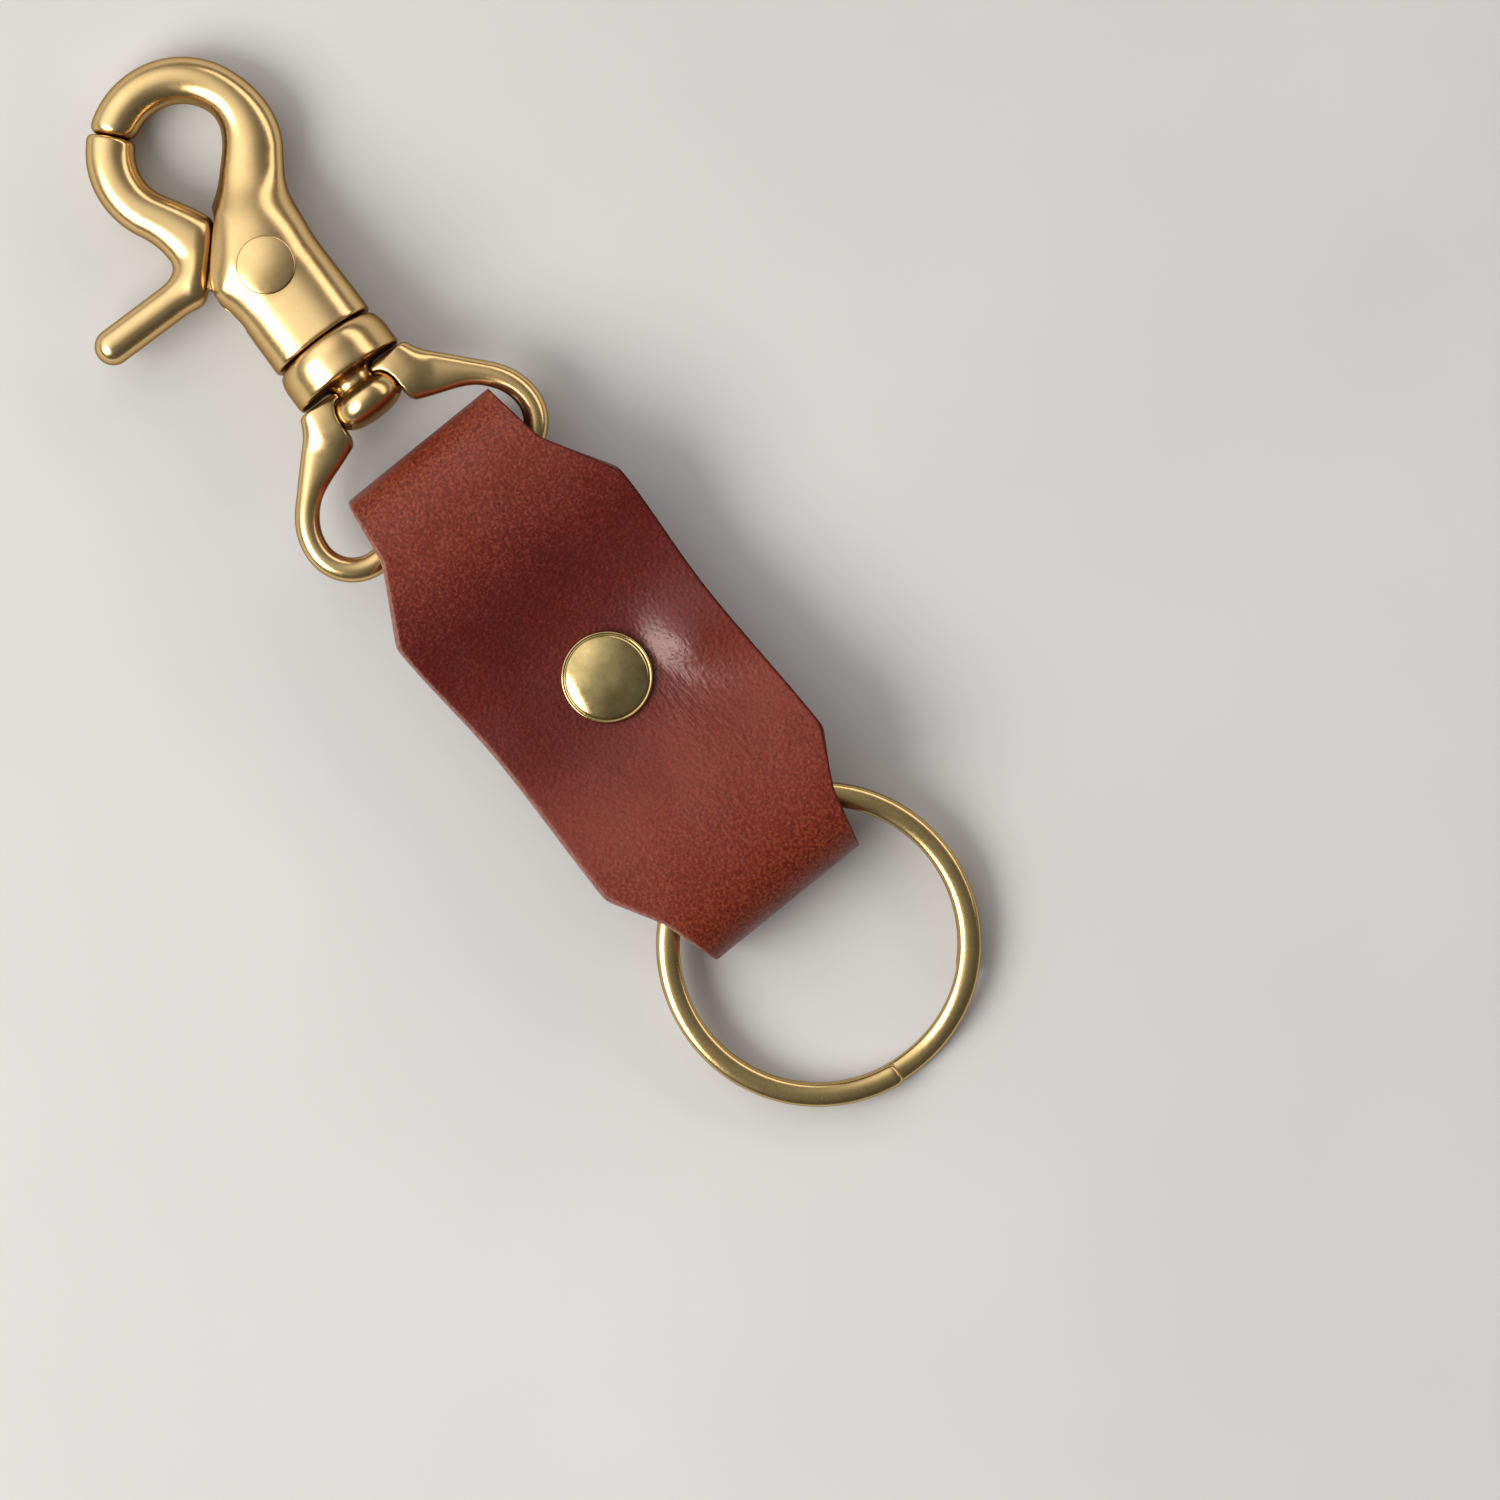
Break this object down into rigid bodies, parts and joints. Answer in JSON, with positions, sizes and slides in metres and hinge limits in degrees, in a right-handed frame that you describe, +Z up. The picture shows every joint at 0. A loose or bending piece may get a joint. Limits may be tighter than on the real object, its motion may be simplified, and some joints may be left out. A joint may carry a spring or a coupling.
{
  "type": "leather keychain",
  "caption": "Leather key fob, a strap folded round a centre rivet, with a brass swivel snap and sprung trigger in its front loop and a split key ring in its back loop",
  "frame": {"origin": "on the rivet's axis, in the plane that the fob lies on, at the underside of the rivet's base", "axes": "+X along the fob towards the snap, +Y across the fob towards the trigger's lever, +Z up out of the fob's face"},
  "size_m": [0.1371, 0.0379, 0.0131],
  "materials": {
    "hide": "waxed reddish brown, burnished edges",
    "rivet_brass": "polished",
    "ring_brass": "polished, a little worn",
    "snap_brass": "satin, cast and tumbled",
    "spring_steel": "plain wire"
  },
  "bodies": {
    "fob": {"leather_strap": "hide", "rivet_cap": "rivet_brass", "rivet_post": "rivet_brass"},
    "ring": {"key_ring": "ring_brass"},
    "eye": {"swivel_eye": "snap_brass"},
    "hook": {"hook_body": "snap_brass", "swivel_stud": "snap_brass", "pivot_pin": "snap_brass", "trigger_spring": "spring_steel"},
    "trigger": {"trigger": "snap_brass"}
  },
  "joints": [
    {"name": "ring_swing", "type": "hinge", "parent": "fob", "child": "ring", "pos_m": [-0.0225, 0.0004, 0.008], "axis": [0, 1, 0], "range_deg": [-60, 45]},
    {"name": "eye_swing", "type": "hinge", "parent": "fob", "child": "eye", "pos_m": [0.0248, 0.00185, 0.00689], "axis": [-0.0384, -0.9993, 0], "range_deg": [-90, 50]},
    {"name": "swivel", "type": "hinge", "parent": "eye", "child": "hook", "pos_m": [0.04094, 0.00123, 0.00689], "axis": [0.9935, -0.0382, -0.1074], "continuous": true},
    {"name": "trigger_pivot", "type": "hinge", "parent": "hook", "child": "trigger", "pos_m": [0.05678, 0.00062, 0.00518], "axis": [0.1074, -0.0041, 0.9942], "range_deg": [0, 34], "stiffness_Nm_per_rad": 0.06, "springref_deg": -28.65, "deforming": ["trigger_spring"]}
  ]
}
